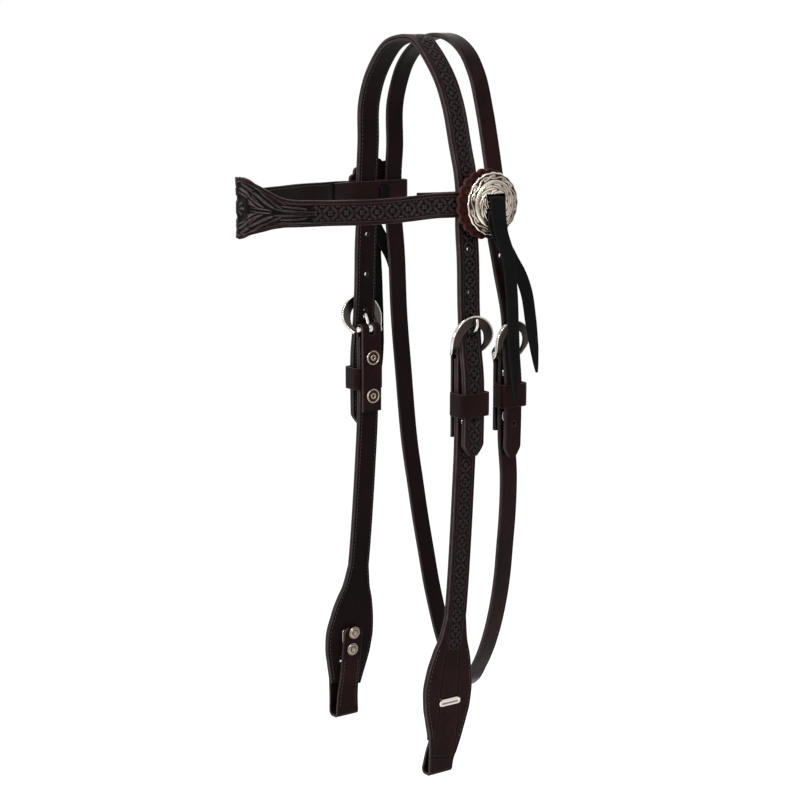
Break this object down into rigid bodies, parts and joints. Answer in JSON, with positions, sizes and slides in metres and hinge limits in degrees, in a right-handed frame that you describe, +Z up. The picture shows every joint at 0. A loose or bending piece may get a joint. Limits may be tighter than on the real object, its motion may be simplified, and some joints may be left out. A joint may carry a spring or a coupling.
{
  "type": "headstall",
  "caption": "Western browband headstall in dark tooled leather, with throatlatch, slotted conchos on leather rosettes, heel-bar buckles and quick-change bit tabs.",
  "frame": {"origin": "underside of the crown strap at the middle of its arch, where it rests on the horse's poll", "axes": "+Z up, +X toward the horse's near (left) side, -Y forward, toward the browband"},
  "size_m": [0.1904, 0.2276, 0.5961],
  "materials": {
    "tooled_leather": "oiled, hand tooled, semi-gloss",
    "lining_leather": "smooth skirting, satin",
    "plain_leather": "oiled, semi-gloss",
    "rosette_leather": "dyed reddish brown, satin",
    "string_leather": "matte black latigo",
    "silver": "engraved silver plate, darkened in the cuts",
    "nickel": "polished nickel plate"
  },
  "bodies": {
    "straps": {"crown_face": "tooled_leather", "browband_face": "tooled_leather", "cheek_face_near": "tooled_leather", "cheek_face_far": "tooled_leather", "crown_lining": "lining_leather", "browband_lining": "lining_leather", "cheek_lining_near": "lining_leather", "cheek_lining_far": "lining_leather", "throatlatch_strap": "plain_leather", "throat_keeper": "plain_leather", "cheek_keeper_near": "plain_leather", "cheek_keeper_far": "plain_leather", "rosette_near": "rosette_leather", "rosette_far": "rosette_leather", "string_loop_near": "string_leather", "string_loop_far": "string_leather", "concho_near": "silver", "concho_far": "silver", "throat_buckle": "nickel", "cheek_buckle_near": "nickel", "cheek_post_upper_near": "nickel", "cheek_post_lower_near": "nickel", "cheek_screw_upper_near": "nickel", "cheek_screw_lower_near": "nickel", "cheek_buckle_far": "nickel", "cheek_post_upper_far": "nickel", "cheek_post_lower_far": "nickel", "cheek_screw_upper_far": "nickel", "cheek_screw_lower_far": "nickel", "throat_post_upper": "nickel", "throat_post_lower": "nickel", "throat_screw_upper": "nickel", "throat_screw_lower": "nickel"},
    "cheek_tongue_near": {"cheek_tongue_near": "nickel"},
    "bit_tab_near": {"bit_tab_near": "plain_leather", "bit_hook_near": "nickel", "tab_rivet_upper_near": "nickel", "tab_rivet_lower_near": "nickel"},
    "string_front_near": {"string_front_near": "string_leather"},
    "string_rear_near": {"string_rear_near": "string_leather"},
    "cheek_tongue_far": {"cheek_tongue_far": "nickel"},
    "bit_tab_far": {"bit_tab_far": "plain_leather", "bit_hook_far": "nickel", "tab_rivet_upper_far": "nickel", "tab_rivet_lower_far": "nickel"},
    "string_front_far": {"string_front_far": "string_leather"},
    "string_rear_far": {"string_rear_far": "string_leather"},
    "throat_tongue": {"throat_tongue": "nickel"}
  },
  "joints": [
    {"name": "cheek_tongue_swing_near", "type": "hinge", "parent": "straps", "child": "cheek_tongue_near", "pos_m": [0.06685, 0, -0.2405], "axis": [0, 1, 0], "range_deg": [0, 6]},
    {"name": "bit_tab_fold_near", "type": "hinge", "parent": "straps", "child": "bit_tab_near", "pos_m": [0.0642, -0.0185, -0.5896], "axis": [0, -1, 0], "range_deg": [0, 40]},
    {"name": "string_front_swing_near", "type": "hinge", "parent": "straps", "child": "string_front_near", "pos_m": [0.0911, 0.014, -0.1292], "axis": [1, 0, 0], "range_deg": [-25, 25]},
    {"name": "string_rear_swing_near", "type": "hinge", "parent": "straps", "child": "string_rear_near", "pos_m": [0.0884, 0.014, -0.14], "axis": [1, 0, 0], "range_deg": [-25, 25]},
    {"name": "cheek_tongue_swing_far", "type": "hinge", "parent": "straps", "child": "cheek_tongue_far", "pos_m": [-0.06685, 0, -0.2405], "axis": [0, -1, 0], "range_deg": [0, 6]},
    {"name": "bit_tab_fold_far", "type": "hinge", "parent": "straps", "child": "bit_tab_far", "pos_m": [-0.0642, -0.02405, -0.578], "axis": [0, 1, 0], "range_deg": [0, 40]},
    {"name": "string_front_swing_far", "type": "hinge", "parent": "straps", "child": "string_front_far", "pos_m": [-0.0911, 0.014, -0.1292], "axis": [1, 0, 0], "range_deg": [-25, 25]},
    {"name": "string_rear_swing_far", "type": "hinge", "parent": "straps", "child": "string_rear_far", "pos_m": [-0.0884, 0.014, -0.14], "axis": [1, 0, 0], "range_deg": [-25, 25]},
    {"name": "throat_tongue_swing", "type": "hinge", "parent": "straps", "child": "throat_tongue", "pos_m": [0.0672, 0.04, -0.2475], "axis": [0, 1, 0], "range_deg": [0, 6]}
  ]
}
